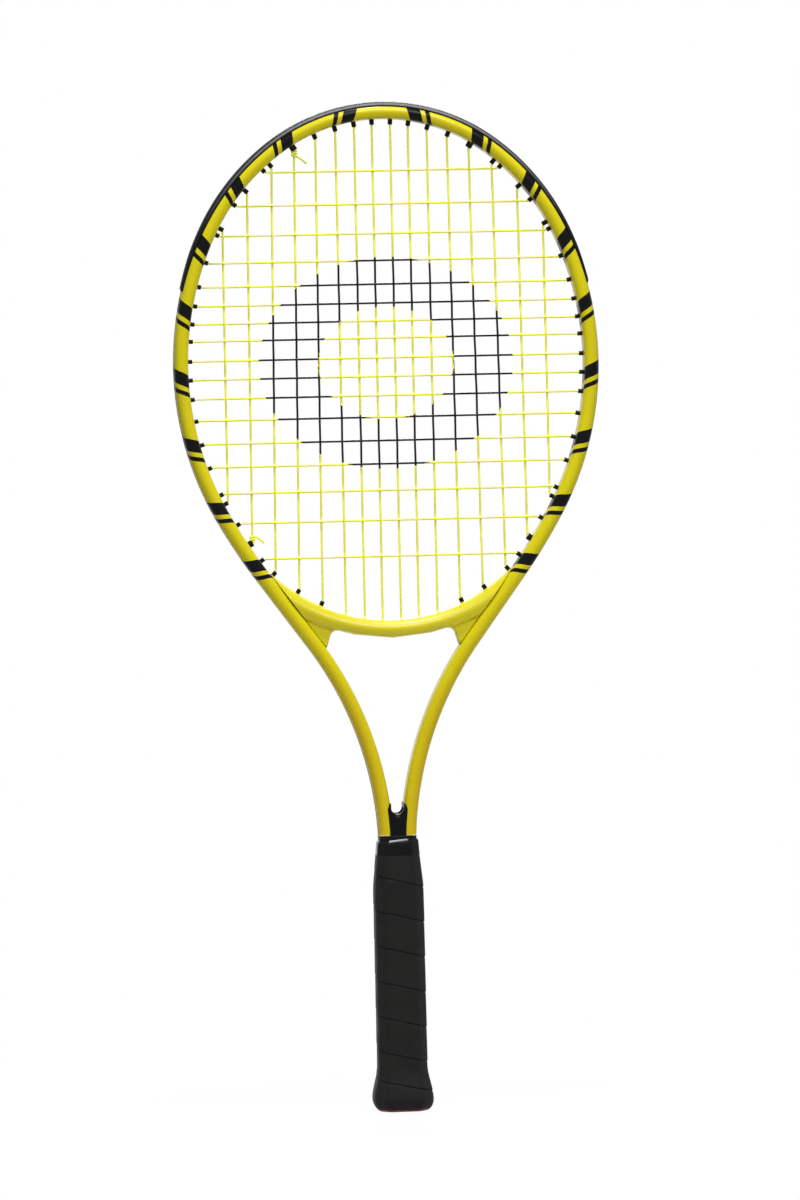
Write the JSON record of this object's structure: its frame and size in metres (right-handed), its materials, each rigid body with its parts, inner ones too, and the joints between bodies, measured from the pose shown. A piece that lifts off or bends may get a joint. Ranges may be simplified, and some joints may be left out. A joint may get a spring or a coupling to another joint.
{
  "type": "tennis racket",
  "caption": "Strung tennis racket with a grooved alloy tube hoop, moulded throat bridge, bumper guard, grommet strips and a taped octagonal handle.",
  "frame": {"origin": "centre of the flat end plate under the butt, on the racket's long axis", "axes": "+Z along the racket from the butt to the tip; the string plane is XZ; the front face looks along -Y"},
  "size_m": [0.2894, 0.0374, 0.686],
  "materials": {
    "frame_paint": "gloss",
    "bridge_plastic": "gloss",
    "trim_plastic": "satin",
    "string": "gloss",
    "handle_plastic": "satin",
    "end_plate": "satin",
    "fastener": "satin",
    "grip": "matte",
    "finishing": "satin"
  },
  "bodies": {
    "root": {"frame_tube": "frame_paint", "throat_bridge": "bridge_plastic", "bridge_rivets": "fastener", "bumper_guard": "trim_plastic", "left_grommet_strip": "trim_plastic", "right_grommet_strip": "trim_plastic", "left_throat_strip": "trim_plastic", "right_throat_strip": "trim_plastic", "string_bed": "string", "throat_plug": "handle_plastic", "handle_shell_front": "handle_plastic", "handle_shell_rear": "handle_plastic", "butt_cap": "handle_plastic", "butt_plate": "end_plate", "butt_staples": "fastener", "grip_tape": "grip", "finishing_tape": "finishing"}
  },
  "joints": []
}
